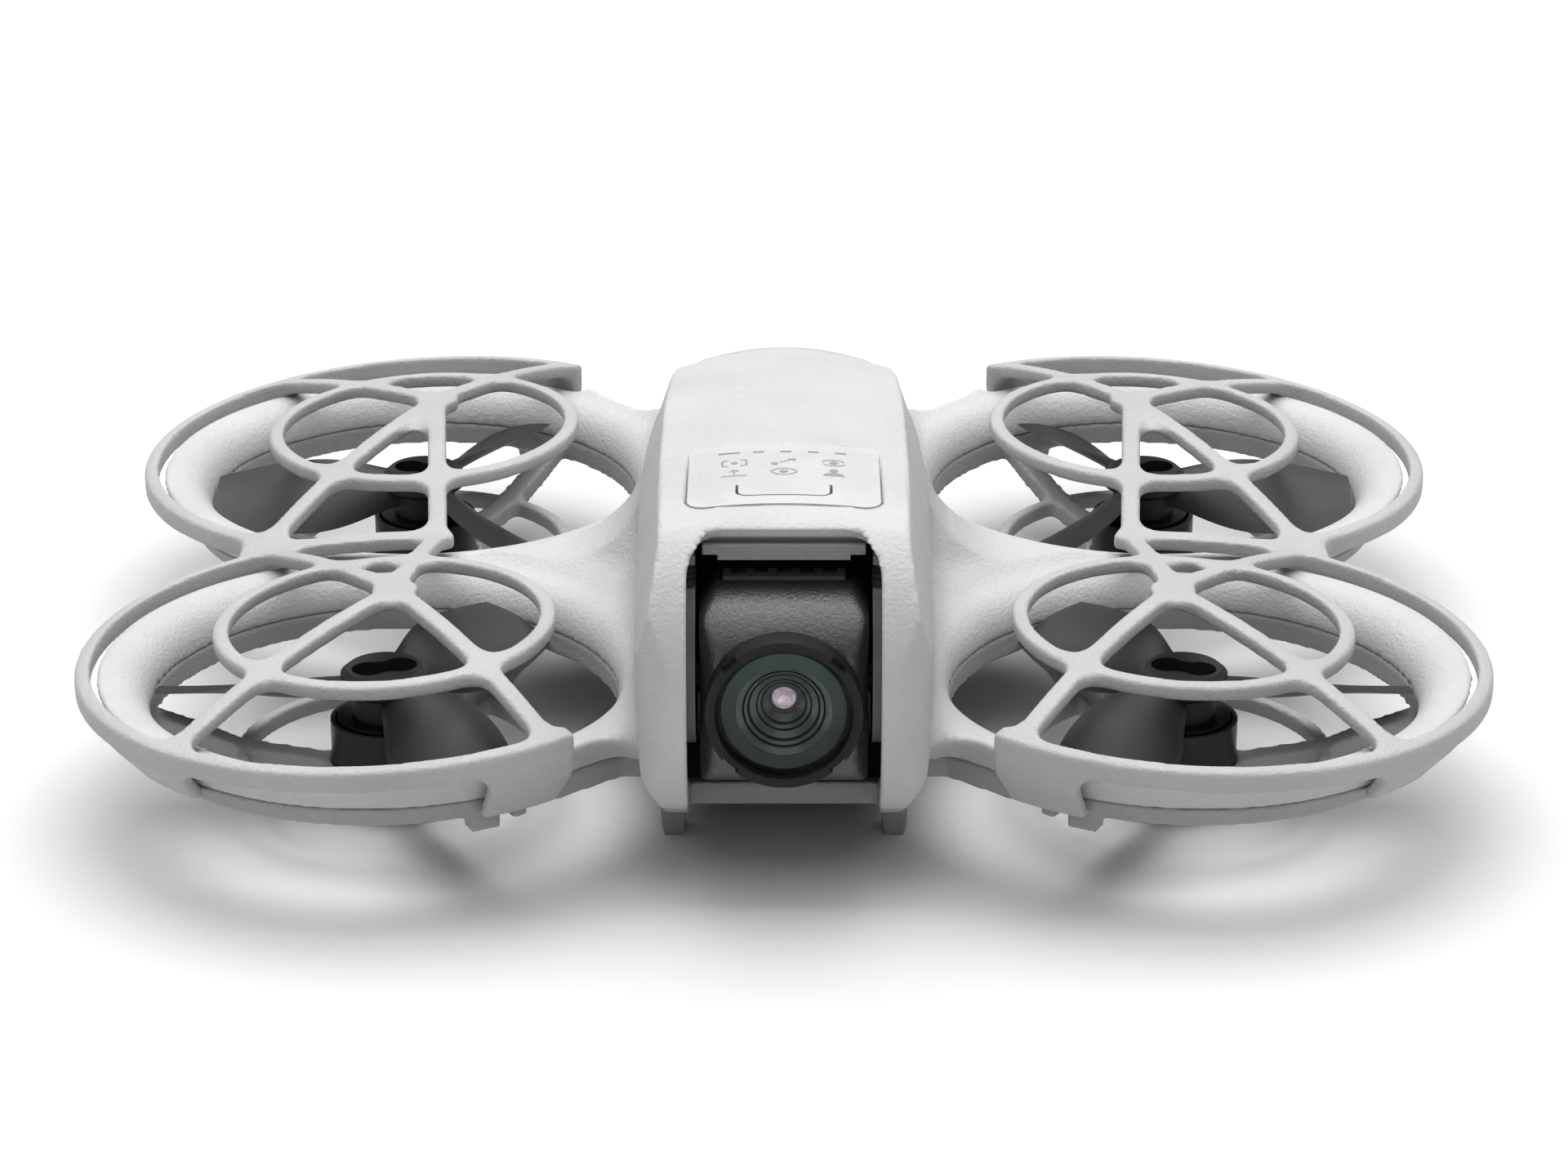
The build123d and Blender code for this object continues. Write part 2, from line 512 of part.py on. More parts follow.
# ---- gimbal ----
YOKE_IN, YOKE_OUT = 9.4, 10.8
yoke_side = polygon((-46.0, 15.8), (-33.6, 17.4), (-32.4, 17.4), (-32.4, 30.0), (-36.0, 34.2),
                    (-51.4, 34.2), (-51.4, 33.0), (-54.4, 27.0))
yoke_arm = plate_yz(yoke_side, YOKE_IN, YOKE_OUT) + rod_x(7.5, YOKE_IN, YOKE_OUT, PIVOT_Y, PIVOT_Z)
yoke_arm = yoke_arm + box(YOKE_IN, 11.8, -51.4, -36.0, 33.0, 34.2)
yoke_arm = yoke_arm - rod_x(2.05, 8, 12, PIVOT_Y, PIVOT_Z)
yoke = yoke_arm + mirrored(yoke_arm) + box(-YOKE_OUT, YOKE_OUT, -33.5, -32.4, 18.5, 28.0)
nodes["gimbal_yoke"] = yoke
damper_outline = ((0, 34.2), (1.1, 34.2), (1.1, 34.8), (0.8, 35.0), (1.15, 35.4), (0.8, 35.7),
                  (1.15, 36.1), (0.8, 36.4), (1.1, 36.6), (1.1, 37.0), (0, 37.0))
damper = turned(*damper_outline)
nodes["gimbal_dampers"] = group(*[Pos(x, y, 0) * damper for x in (-10.4, 10.4) for y in (-50.0, -37.4)])
bracket_rail = box(9.4, 11.4, -51.4, -30.8, 37.0, 38.0)
nodes["gimbal_bracket"] = bracket_rail + mirrored(bracket_rail) + box(-9.4, 9.4, -32.0, -30.8, 37.0, 38.0)
motor_ring = rod_x(7.4, YOKE_OUT, 13.0, PIVOT_Y, PIVOT_Z) - rod_x(5.0, YOKE_OUT - 1, 12.8, PIVOT_Y, PIVOT_Z)
nodes["tilt_motor"] = motor_ring
visor = box(-8.6, 8.6, -51.2, -50.3, 38.1, 39.1) + box(-7.0, 7.0, -51.2, -50.3, 37.5, 38.1)
nodes["visor"] = visor + box(-8.6, 8.6, -50.4, -47.0, 38.1, BAY_CEILING)
tray = box(-11.3, 11.3, -43.4, -32.2, 7.7, 8.3)
ribs = [box(x - 0.3, x + 0.3, -43.4, -36.0, 8.2, 8.8) for x in (-10.4, -7.6, 7.6, 10.4)]
nodes["bay_floor"] = tray + ribs

# ---- electronics ----
bulkhead = box(-12.0, 12.0, -32.0, -30.8, 8.4, 37.0) + box(-9.0, 9.0, -32.0, -30.8, 5.5, 8.4)
shelf = box(-12.8, 12.8, -30.8, 27.0, 25.2, 26.2)
nodes["mid_frame"] = (bulkhead + shelf) - box(-6, 6, -33, -30, 10, 16)
nodes["main_board"] = group(
    box(-12.0, 12.0, -29.5, 24.0, 26.8, 27.8), box(-7.5, 7.5, -4.0, 14.0, 27.8, 29.0),
    *[box(x - 0.8, x + 0.8, y - 0.8, y + 0.8, 26.2, 26.8) for x in (-10.6, 10.6) for y in (-28, 22)])
fins = [box(-9.0, 9.0, y, y + 0.8, 29.0, 31.0) for y in (-25, -22.5, -20, -17.5, -15, -12.5, -10)]
nodes["heat_sink"] = box(-9.0, 9.0, -26.0, -8.0, 27.8, 29.0) + fins
nodes["panel_board"] = group(
    box(-8.4, 8.4, -44.3, -28.6, 38.2, 38.8), box(-1.4, 1.4, -43.0, -40.8, 38.8, 39.5))
nodes["downward_camera"] = group(
    rod(3.5, 3.9, 5.4, -4.5, SENSOR_Y), box(-8.5, -0.5, SENSOR_Y - 4, SENSOR_Y + 4, 5.4, 7.4))
nodes["infrared_sensor"] = group(
    box(1.6, 8.4, SENSOR_Y - 1.9, SENSOR_Y + 1.9, 3.9, 5.4),
    box(1.0, 9.0, SENSOR_Y - 3, SENSOR_Y + 3, 5.4, 6.6))
antenna = box(-13.2, -12.6, -28.0, -6.0, 13.5, 24.0)
nodes["antennas"] = pair(antenna)
nodes["battery_socket"] = box(-7.0, 7.0, -6.4, -3.0, 10.0, 18.0)

# ---- battery ----
CASE_FRONT, CASE_WALL = -2.0, 1.2
CONTACT_XS = (-4.5, -1.5, 1.5, 4.5)


def battery_section(inset):
    """Cross-section that clears the mouth of the battery bay all the way out."""
    right = [(11.8 - inset, 8.5 + inset), (12.3 - inset, 9.4 + inset), (12.3 - inset, 18.3),
             (8.9 - 0.4 * inset, 21.8 - inset)]
    return polygon(*right, *[(-x, z) for x, z in reversed(right)])


tail_cap = hull & box(-30, 30, BATTERY_SPLIT + 0.15, 64, 0, 60)
case = plate_xz(battery_section(0), CASE_FRONT, BATTERY_SPLIT + 0.15) + tail_cap
case = case - plate_xz(battery_section(CASE_WALL), CASE_FRONT + CASE_WALL, 46.0)
LATCH_Y, LATCH_Z, LATCH_HALF = 53.4, 14.0, 2.6


def latch_box(inner_x, gap):
    """Block the size of a right-hand latch, wider all round by a gap."""
    half = LATCH_HALF + gap
    return box(inner_x, 20, LATCH_Y - half, LATCH_Y + half, LATCH_Z - half, LATCH_Z + half)


latch_well = latch_box(8.6, 0.2)
case = case - latch_well - mirrored(latch_well)
BUTTON_X, PORT_X, REAR_Z = 5.2, -3.4, 15.2
case = case - rod_y(2.55, 55.6, 64, BUTTON_X, REAR_Z) - rod_y(1.2, 52.0, 64, BUTTON_X, REAR_Z)
port_section = Pos(PORT_X, REAR_Z) * rounded_rect(8.9, 3.2, 1.5)
case = case - plate_xz(port_section, 51.6, 64)
case = case - [box(x - 0.5, x + 0.5, CASE_FRONT - 1, CASE_FRONT + 1.3, 11.6, 16.4) for x in CONTACT_XS]
nodes["battery_case"] = case
nodes["battery_cells"] = group(
    box(-10.8, 10.8, 2.2, 45.4, 10.3, 14.9), box(-10.8, 10.8, 2.2, 45.4, 15.1, 18.4))
nodes["battery_contacts"] = group(*[
    box(x - 0.3, x + 0.3, CASE_FRONT - 0.6, 1.8, 12.0, 16.0) for x in CONTACT_XS])
port_mouth = Pos(PORT_X, REAR_Z) * rounded_rect(8.3, 2.6, 1.2)
nodes["usb_port"] = plate_xz(port_section, 51.6, 58.2) - plate_xz(port_mouth, 52.2, 60) + box(
    PORT_X - 3.2, PORT_X + 3.2, 52.2, 57.0, REAR_Z - 0.35, REAR_Z + 0.35)
latch_skin = Pos(-0.3, 0, 0) * (hull & latch_box(10.1, 0))
nodes["latch_right"] = latch_skin
nodes["latch_left"] = mirrored(latch_skin)
nodes["power_button"] = rod_y(2.4, 56.4, 58.6, BUTTON_X, REAR_Z) + rod_y(1.1, 52.8, 56.4, BUTTON_X, REAR_Z)

# ---- control panel ----
TONGUE_HALF, TONGUE_FRONT, TONGUE_REAR, TONGUE_FLOOR = 4.9, -43.6, -40.4, 40.05
panel = hull & panel_prism


def tongue_prism(gap, floor):
    """Tab with rounded front corners, wider all round by a gap."""
    depth = 2 * (TONGUE_REAR - TONGUE_FRONT + gap)
    outline = Pos(0, TONGUE_REAR) * rounded_rect(2 * (TONGUE_HALF + gap), depth, 1.1 + gap)
    return plate_xy(outline, floor, 45) & box(-10, 10, -50, TONGUE_REAR, 30, 50)


panel = panel - tongue_prism(0.3, 39)
LIGHTS = [(-6.0, 2.4)] + [(x, 1.2) for x in (-2.8, 0.2, 3.2, 6.2)]
LIGHT_Y = -29.3
light_prisms = [
    box(x - length / 2, x + length / 2, LIGHT_Y - 0.3, LIGHT_Y + 0.3, 38.8, 45) for x, length in LIGHTS]
panel = panel - light_prisms
nodes["control_panel"] = panel
nodes["status_lights"] = group(*[hull & prism for prism in light_prisms])
tongue = hull & tongue_prism(0, TONGUE_FLOOR) & box(-10, 10, -50, TONGUE_REAR - 0.02, 30, 50)
nodes["mode_button"] = tongue + box(-1.0, 1.0, -42.6, -41.2, 39.9, TONGUE_FLOOR + 0.2)

# ---- screws that join the two shells ----
shell_screw = rod(0.8, 11.0, 15.0) + (rod(1.5, 10.1, 11.0) - box(-0.9, 0.9, -0.2, 0.2, 10.0, 10.5))
nodes["shell_screws"] = group(*[Pos(x, y, 0) * shell_screw for x, y in SCREW_PLACES])

os.makedirs("parts", exist_ok=True)
for name, shape in nodes.items():
    export_step(shape, f"parts/{name}.step")
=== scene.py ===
import math

import bmesh
import bpy
import numpy as np
import openvdb as vdb
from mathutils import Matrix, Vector
from mathutils.bvhtree import BVHTree


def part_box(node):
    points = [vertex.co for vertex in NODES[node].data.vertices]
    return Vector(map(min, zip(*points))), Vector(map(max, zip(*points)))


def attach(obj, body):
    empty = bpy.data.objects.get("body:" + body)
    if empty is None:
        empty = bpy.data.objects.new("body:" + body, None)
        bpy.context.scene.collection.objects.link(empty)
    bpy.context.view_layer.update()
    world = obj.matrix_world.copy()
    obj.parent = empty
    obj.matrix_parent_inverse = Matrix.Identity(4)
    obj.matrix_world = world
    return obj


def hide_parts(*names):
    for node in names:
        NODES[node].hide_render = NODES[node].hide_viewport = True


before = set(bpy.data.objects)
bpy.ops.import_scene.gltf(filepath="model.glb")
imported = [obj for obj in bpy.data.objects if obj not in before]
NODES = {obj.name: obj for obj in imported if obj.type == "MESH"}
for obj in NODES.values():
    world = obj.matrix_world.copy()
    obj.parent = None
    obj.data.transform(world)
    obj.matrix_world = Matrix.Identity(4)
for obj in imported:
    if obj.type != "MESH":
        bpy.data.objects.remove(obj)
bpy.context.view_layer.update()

MM = 0.001
PER_METRE = 1000
ROTORS = ("front_left", "front_right", "rear_left", "rear_right")


# ---- materials: sizes of surface marks are in metres ----
CLOUD_SIZE = 0.014
PLASTIC_GRAIN = 0.00045
GRAIN_DEPTH = 0.00022
BRUSH_SCALE = 2500.0
BRUSH_DEPTH = 0.000008
TRACK_SCALE = 420.0
TRACK_DEPTH = 0.00003


def new_material(name):
    material = bpy.data.materials.new(name)
    material.use_nodes = True
    nodes = material.node_tree.nodes
    return material, nodes, material.node_tree.links, nodes["Principled BSDF"]


def scaled(colour, factor, added=0.0):
    """Colour made lighter or darker, held to 1."""
    return tuple(min(channel * factor + added, 1.0) for channel in colour)


def noise(nodes, links, size, detail=3.0):
    """Noise whose features are about `size` metres across, fixed to the piece."""
    coordinates = nodes.new("ShaderNodeTexCoord")
    texture = nodes.new("ShaderNodeTexNoise")
    texture.inputs["Scale"].default_value = 1.0 / size
    texture.inputs["Detail"].default_value = detail
    texture.inputs["Roughness"].default_value = 0.55
    links.new(coordinates.outputs["Object"], texture.inputs["Vector"])
    return texture.outputs["Fac"]


def span(nodes, links, value, low, high, out_low=0.0, out_high=1.0):
    """Value between low and high, mapped to a new range."""
    mapper = nodes.new("ShaderNodeMapRange")
    for socket, number in (("From Min", low), ("From Max", high),
                           ("To Min", out_low), ("To Max", out_high)):
        mapper.inputs[socket].default_value = number
    links.new(value, mapper.inputs["Value"])
    return mapper.outputs["Result"]


def mixed(nodes, links, factor, first, second):
    """Colour between two colours; each may be a colour or a socket."""
    mix = nodes.new("ShaderNodeMix")
    mix.data_type = "RGBA"
    links.new(factor, mix.inputs["Factor"])
    for socket, colour in (("A", first), ("B", second)):
        target = [entry for entry in mix.inputs if entry.name == socket and entry.type == "RGBA"][0]
        if isinstance(colour, tuple):
            target.default_value = (*colour, 1.0)
        else:
            links.new(colour, target)
    return [entry for entry in mix.outputs if entry.type == "RGBA"][0]


def edge_wear(nodes, links, base, rubbed, low, high, share):
    """Base colour, rubbed paler along convex edges."""
    edge = nodes.new("ShaderNodeNewGeometry").outputs["Pointiness"]
    return mixed(nodes, links, span(nodes, links, edge, low, high, 0.0, share), base, rubbed)


def bump(nodes, links, layers, shader):
    """Stacks bump layers: (height socket, strength, depth in metres)."""
    normal = None
    for height, strength, depth in layers:
        node = nodes.new("ShaderNodeBump")
        node.inputs["Strength"].default_value = strength
        node.inputs["Distance"].default_value = depth
        links.new(height, node.inputs["Height"])
        if normal:
            links.new(normal, node.inputs["Normal"])
        normal = node.outputs["Normal"]
    links.new(normal, shader.inputs["Normal"])


def moulded(name, colour, roughness, grain=PLASTIC_GRAIN, depth=GRAIN_DEPTH, variation=0.06, worn=1.12,
            specular=0.5):
    """Spark-eroded moulded plastic: fine pebble grain, faint cloudiness, rubbed edges."""
    material, nodes, links, shader = new_material(name)
    pebble = noise(nodes, links, grain, 2.0)
    speck = noise(nodes, links, grain * 0.4, 1.0)
    cloud = span(nodes, links, noise(nodes, links, CLOUD_SIZE, 4.0), 0.3, 0.7)
    base = mixed(nodes, links, cloud, scaled(colour, 1 - variation), scaled(colour, 1 + variation))
    pits = span(nodes, links, pebble, 0.56, 0.74, 0.0, 0.45)
    base = mixed(nodes, links, pits, base, scaled(colour, 0.85))
    base = edge_wear(nodes, links, base, scaled(colour, worn), 0.53, 0.60, 0.5)
    links.new(base, shader.inputs["Base Color"])
    matt = span(nodes, links, pebble, 0.35, 0.7, roughness - 0.05, roughness + 0.08)
    links.new(matt, shader.inputs["Roughness"])
    shader.inputs["Specular IOR Level"].default_value = specular
    bump(nodes, links, [(pebble, 0.55, depth), (speck, 0.35, depth * 0.6)], shader)
    return material


def satin(name, colour, roughness, sheen_size=0.004, coat=0.0, fine=0.00012, depth=0.000006,
          variation=0.18, specular=0.5):
    """Smooth or polished moulding: faint flow marks and a very fine texture."""
    material, nodes, links, shader = new_material(name)
    flow = noise(nodes, links, sheen_size, 5.0)
    micro = noise(nodes, links, fine, 2.0)
    drift = span(nodes, links, flow, 0.3, 0.7)
    base = mixed(nodes, links, drift, scaled(colour, 1 - variation), scaled(colour, 1 + variation))
    base = edge_wear(nodes, links, base, scaled(colour, 1.6, 0.01), 0.55, 0.66, 0.4)
    links.new(base, shader.inputs["Base Color"])
    matt = span(nodes, links, flow, 0.3, 0.7, roughness - 0.05, roughness + 0.07)
    links.new(matt, shader.inputs["Roughness"])
    shader.inputs["Coat Weight"].default_value = coat
    shader.inputs["Specular IOR Level"].default_value = specular
    bump(nodes, links, [(micro, 0.4, depth), (flow, 0.12, depth * 6)], shader)
    return material


def metal(name, colour, roughness, brushed=(1.0, 1.0, 1.0)):
    """Machined or cast metal; brushed stretches the marks along one axis."""
    material, nodes, links, shader = new_material(name)
    coordinates = nodes.new("ShaderNodeTexCoord")
    mapping = nodes.new("ShaderNodeMapping")
    mapping.inputs["Scale"].default_value = brushed
    texture = nodes.new("ShaderNodeTexNoise")
    texture.inputs["Scale"].default_value = BRUSH_SCALE
    texture.inputs["Detail"].default_value = 3.0
    links.new(coordinates.outputs["Object"], mapping.inputs["Vector"])
    links.new(mapping.outputs["Vector"], texture.inputs["Vector"])
    marks = texture.outputs["Fac"]
    tarnish = span(nodes, links, noise(nodes, links, 0.003, 4.0), 0.35, 0.7)
    links.new(mixed(nodes, links, tarnish, colour, scaled(colour, 0.88)), shader.inputs["Base Color"])
    matt = span(nodes, links, marks, 0.3, 0.7, roughness - 0.07, roughness + 0.1)
    links.new(matt, shader.inputs["Roughness"])
    shader.inputs["Metallic"].default_value = 1.0
    bump(nodes, links, [(marks, 0.3, BRUSH_DEPTH)], shader)
    return material


def circuit_board(name):
    """Green lacquered board with faint tracks under the lacquer."""
    lacquer, track, shadow = (0.010, 0.050, 0.030), (0.035, 0.11, 0.06), (0.008, 0.03, 0.02)
    material, nodes, links, shader = new_material(name)
    coordinates = nodes.new("ShaderNodeTexCoord")
    tracks = nodes.new("ShaderNodeTexBrick")
    tracks.inputs["Scale"].default_value = TRACK_SCALE
    tracks.inputs["Mortar Size"].default_value = 0.03
    links.new(coordinates.outputs["Object"], tracks.inputs["Vector"])
    cloud = span(nodes, links, noise(nodes, links, 0.002), 0.4, 0.8, 0.0, 0.5)
    base = mixed(nodes, links, tracks.outputs["Fac"], lacquer, track)
    links.new(mixed(nodes, links, cloud, base, shadow), shader.inputs["Base Color"])
    shader.inputs["Roughness"].default_value = 0.35
    bump(nodes, links, [(tracks.outputs["Fac"], 0.4, TRACK_DEPTH)], shader)
    return material


def coated_glass(name, tint, haze, share):
    """Thin see-through lens glass; a small share of the light comes off its smooth coated face."""
    material, nodes, links, shader = new_material(name)
    clear = nodes.new("ShaderNodeBsdfTransparent")
    cloud = span(nodes, links, noise(nodes, links, 0.004, 2.0), 0.4, 0.6)
    links.new(mixed(nodes, links, cloud, tint, scaled(tint, 0.97)), clear.inputs["Color"])
    shader.inputs["Base Color"].default_value = (*haze, 1.0)
    shader.inputs["Roughness"].default_value = 0.12
    blend = nodes.new("ShaderNodeMixShader")
    blend.inputs["Fac"].default_value = share
    links.new(clear.outputs["BSDF"], blend.inputs[1])
    links.new(shader.outputs["BSDF"], blend.inputs[2])
    output = [node for node in nodes if node.type == "OUTPUT_MATERIAL"][0]
    links.new(blend.outputs["Shader"], output.inputs["Surface"])
    return material


def plate_painted_reflection(name, plate_colour, painted_reflection_colour):
    """Dark plate close behind the cover glass; its green towards the top is a painted reflection of the
    glass coating.
    """
    material, nodes, links, shader = new_material(name)
    split = nodes.new("ShaderNodeSeparateXYZ")
    links.new(nodes.new("ShaderNodeTexCoord").outputs["Object"], split.inputs["Vector"])
    low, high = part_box("lens_glass")
    # Painted reflection: the plate turns greener towards the top in place of the coating's reflection.
    height = span(nodes, links, split.outputs["Z"], low.z + 0.35 * (high.z - low.z), high.z)
    links.new(mixed(nodes, links, height, plate_colour, painted_reflection_colour), shader.inputs["Base Color"])
    cloud = noise(nodes, links, 0.002)
    links.new(span(nodes, links, cloud, 0.4, 0.7, 0.28, 0.36), shader.inputs["Roughness"])
    return material


def painted_glint_glass(name, colour):
    """Innermost element with a painted glint: it glows faintly and pale in place of a reflection of the
    room's light.
    """
    material, nodes, links, shader = new_material(name)
    cloud = span(nodes, links, noise(nodes, links, 0.0009), 0.35, 0.65)
    glint_tone = mixed(nodes, links, cloud, scaled(colour, 0.55), colour)
    links.new(glint_tone, shader.inputs["Base Color"])
    # Painted glint: the same pale colour also drives a faint glow, though the element is no lamp.
    links.new(glint_tone, shader.inputs["Emission Color"])
    shader.inputs["Emission Strength"].default_value = 0.8
    shader.inputs["Roughness"].default_value = 0.08
    shader.inputs["Coat Weight"].default_value = 1.0
    return material


def light_pipe(name, colour):
    """Frosted, unlit light pipe."""
    material, nodes, links, shader = new_material(name)
    cloud = noise(nodes, links, 0.0006, 2.0)
    links.new(mixed(nodes, links, cloud, scaled(colour, 0.8), colour), shader.inputs["Base Color"])
    shader.inputs["Roughness"].default_value = 0.4
    bump(nodes, links, [(cloud, 0.2, 0.00001)], shader)
    return material


SHELL = moulded("shell plastic", (0.46, 0.46, 0.465), 0.55, specular=0.4)
# The lower frame is the shell's light grey plastic; its darker colour here is painted shade for its
# undersides and lower duct walls.
FRAME_PAINTED_SHADE = moulded("lower frame plastic painted shade", (0.31, 0.31, 0.315), 0.55, specular=0.4)
GUARD = moulded("guard plastic", (0.38, 0.38, 0.385), 0.55, specular=0.4)
DARK = moulded("dark grained plastic", (0.030, 0.030, 0.032), 0.38, 0.0004, 0.00016, variation=0.2,
               worn=1.6, specular=0.9)
BLACK = satin("black satin plastic", (0.008, 0.008, 0.009), 0.36, specular=0.3)
BEZEL = satin("black bezel ring", (0.008, 0.008, 0.009), 0.5, specular=0.2)
BLADE = satin("propeller plastic", (0.011, 0.011, 0.012), 0.46, sheen_size=0.006, specular=0.3)
GREY = moulded("grey plastic", (0.20, 0.20, 0.21), 0.5, variation=0.1)
MARK = satin("pale grey print", (0.20, 0.20, 0.205), 0.5, variation=0.05)
BARREL = satin("blackened barrel", (0.010, 0.011, 0.012), 0.42, fine=0.0006, depth=0.000002)
YOKE = moulded("cast yoke", (0.13, 0.13, 0.135), 0.42, grain=0.0003, depth=0.00002, worn=1.5)
MOTOR = metal("motor bell", (0.022, 0.022, 0.025), 0.38, brushed=(1.0, 1.0, 12.0))
STEEL = metal("screw steel", (0.55, 0.55, 0.56), 0.28)
ALUMINIUM = metal("heat sink", (0.62, 0.63, 0.65), 0.36, brushed=(10.0, 1.0, 1.0))
COPPER = metal("windings", (0.55, 0.22, 0.09), 0.34, brushed=(1.0, 1.0, 9.0))
GOLD = metal("contact gold", (0.78, 0.55, 0.22), 0.26)
FOIL = metal("cell foil", (0.62, 0.64, 0.66), 0.3)
RUBBER = moulded("damper rubber", (0.016, 0.016, 0.016), 0.7, grain=0.0003, variation=0.2, worn=1.5)
WINDOW = satin("sensor window", (0.012, 0.008, 0.012), 0.08, coat=0.8)
BOARD = circuit_board("circuit board")
GLASS = coated_glass("coated cover glass", (0.94, 0.965, 0.95), (0.03, 0.06, 0.045), 0.04)
ELEMENT = coated_glass("inner lens glass", (0.95, 0.93, 0.96), (0.22, 0.18, 0.21), 0.06)
# The lens plate's green upper part is a painted reflection of the cover glass coating.
PLATE = plate_painted_reflection("lens plate painted reflection", (0.009, 0.012, 0.011), (0.042, 0.070, 0.056))
# The iris colour glows as a painted glint in place of a reflection.
PUPIL_PAINTED_GLINT = painted_glint_glass("iris painted glint", (0.92, 0.80, 0.86))
RING = satin("lens ring", (0.060, 0.062, 0.060), 0.30, coat=0.5)
LIGHT = light_pipe("light pipe", (0.22, 0.22, 0.225))

NODE_MATERIALS = {
    "control_panel": SHELL, "mode_button": SHELL, "battery_case": SHELL, "latch_left": SHELL,
    "latch_right": SHELL, "visor": GREY, "bay_floor": DARK, "mid_frame": GREY, "camera_housing": DARK,
    # The vent comb takes a lighter grey than its own dark grey as painted light, since it sits in the
    # visor's shade.
    "camera_rear_cover": DARK, "camera_vent_comb": GREY, "lens_bezel": BEZEL, "lens_barrel": BARREL,
    "lens_elements": ELEMENT, "lens_glass": GLASS, "image_sensor_board": BOARD, "main_board": BOARD,
    "panel_board": BOARD, "tilt_shafts": MOTOR, "gimbal_yoke": YOKE, "gimbal_bracket": YOKE,
    "tilt_motor": MOTOR, "gimbal_dampers": RUBBER, "heat_sink": ALUMINIUM, "downward_camera": WINDOW,
    "infrared_sensor": WINDOW, "antennas": GOLD, "battery_socket": BLACK, "battery_cells": FOIL,
    "battery_contacts": GOLD, "usb_port": STEEL, "power_button": GREY, "status_lights": LIGHT,
    "shell_screws": STEEL, "motor_bearings": STEEL,
}
for rotor in ROTORS:
    NODE_MATERIALS["motor_cup_" + rotor] = BLACK
    NODE_MATERIALS["motor_stator_" + rotor] = COPPER
    NODE_MATERIALS["motor_rotor_" + rotor] = MOTOR
    NODE_MATERIALS["propeller_" + rotor] = BLADE
    NODE_MATERIALS["propeller_screws_" + rotor] = STEEL
for node_name, material in NODE_MATERIALS.items():
    slots = NODES[node_name].data.materials
    slots.clear()
    slots.append(material)


# ---- shells with moulded fillets: lengths are in millimetres ----
SHELL_VOXEL, GUARD_VOXEL = ((0.4, 0.3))
HOUSING_VOXEL = 0.2
SHELL_FILLET = 3.5
GUARD_FILLET = 2.0
GUARD_BLUR = 1
HOUSING_BLUR = 10
SMOOTHING_ROUNDS = 3
FLANK_X = (14.6, 16.4)
WINDOW_Y = (-55.0, -51.0)


def node_surface(node_name):
    """Corner points in millimetres and triangles of a CAD node."""
    mesh = NODES[node_name].data
    mesh.calc_loop_triangles()
    points = np.empty(len(mesh.vertices) * 3, dtype=np.float32)
    mesh.vertices.foreach_get("co", points)
    triangles = np.empty(len(mesh.loop_triangles) * 3, dtype=np.int32)
    mesh.loop_triangles.foreach_get("vertices", triangles)
    return points.reshape(-1, 3) * PER_METRE, triangles.reshape(-1, 3).astype(np.uint32)


def whole(numbers):
    return tuple(int(number) for number in numbers)


class Solid:
    """A solid held as distances from its surface, in millimetres, on a regular grid."""

    def __init__(self, points, faces, voxel, band, low=None, size=None):
        self.voxel, self.band = voxel, band
        transform = vdb.createLinearTransform(voxelSize=voxel)
        kind = "triangles" if faces.shape[1] == 3 else "quads"
        grid = vdb.FloatGrid.createLevelSetFromPolygons(
            points, transform=transform, halfWidth=band / voxel + 2, **{kind: faces})
        if low is None:
            margin = int(band / voxel) + 4
            low = np.floor(points.min(axis=0) / voxel).astype(int) - margin
            size = np.ceil(points.max(axis=0) / voxel).astype(int) + margin - low
        self.low, self.size = low, size
        self.field = np.empty(whole(size), dtype=np.float32)
        grid.copyToArray(self.field, ijk=whole(low))

    def coordinates(self):
        """X, Y and Z of the grid in millimetres, ready to broadcast."""
        axes = [(np.arange(n) + start) * self.voxel for n, start in zip(self.size, self.low)]
        return np.ix_(*(axis.astype(np.float32) for axis in axes))

    def surface(self, level=0.0, field=None):
        """Points and quads of the surface at one distance."""
        grid = vdb.FloatGrid(self.band)
        grid.copyFromArray(self.field if field is None else field, ijk=whole(self.low))
        grid.transform = vdb.createLinearTransform(voxelSize=self.voxel)
        grid.gridClass = vdb.GridClass.LEVEL_SET
        return grid.convertToQuads(level)

    def closed(self, radius):
        """Distances after every concave corner is filled to a radius."""
        points, quads = self.surface(radius)
        grown = Solid(points, quads, self.voxel, radius + 1.0, self.low, self.size)
        return grown.field + radius


def blurred(field, rounds):
    """Field averaged with its neighbours, which rounds every edge a little."""
    for axis in list(range(3)) * rounds:
        along = np.moveaxis(field, axis, 0)
        middle = along[1:-1] * 0.5 + (along[:-2] + along[2:]) * 0.25
        field = field.copy()
        np.moveaxis(field, axis, 0)[1:-1] = middle
    return field


def relaxed(points, quads, rounds, keep=0.5):
    """Taubin smoothing: each round moves the points in, then a little further back out."""
    edges = np.concatenate([quads[:, [k, (k + 1) % 4]] for k in range(4)]).astype(np.int64)
    edges = np.unique(np.sort(edges, axis=1), axis=0)
    count = np.bincount(edges.ravel(), minlength=len(points)).astype(np.float32)[:, None]
    for step in range(2 * rounds):
        total = np.empty_like(points)
        for axis in range(3):
            total[:, axis] = np.bincount(edges[:, 0], points[edges[:, 1], axis], len(points))
            total[:, axis] += np.bincount(edges[:, 1], points[edges[:, 0], axis], len(points))
        shift = total / np.maximum(count, 1) - points
        points = points + shift * (keep if step % 2 == 0 else -keep * 1.04)
    return points


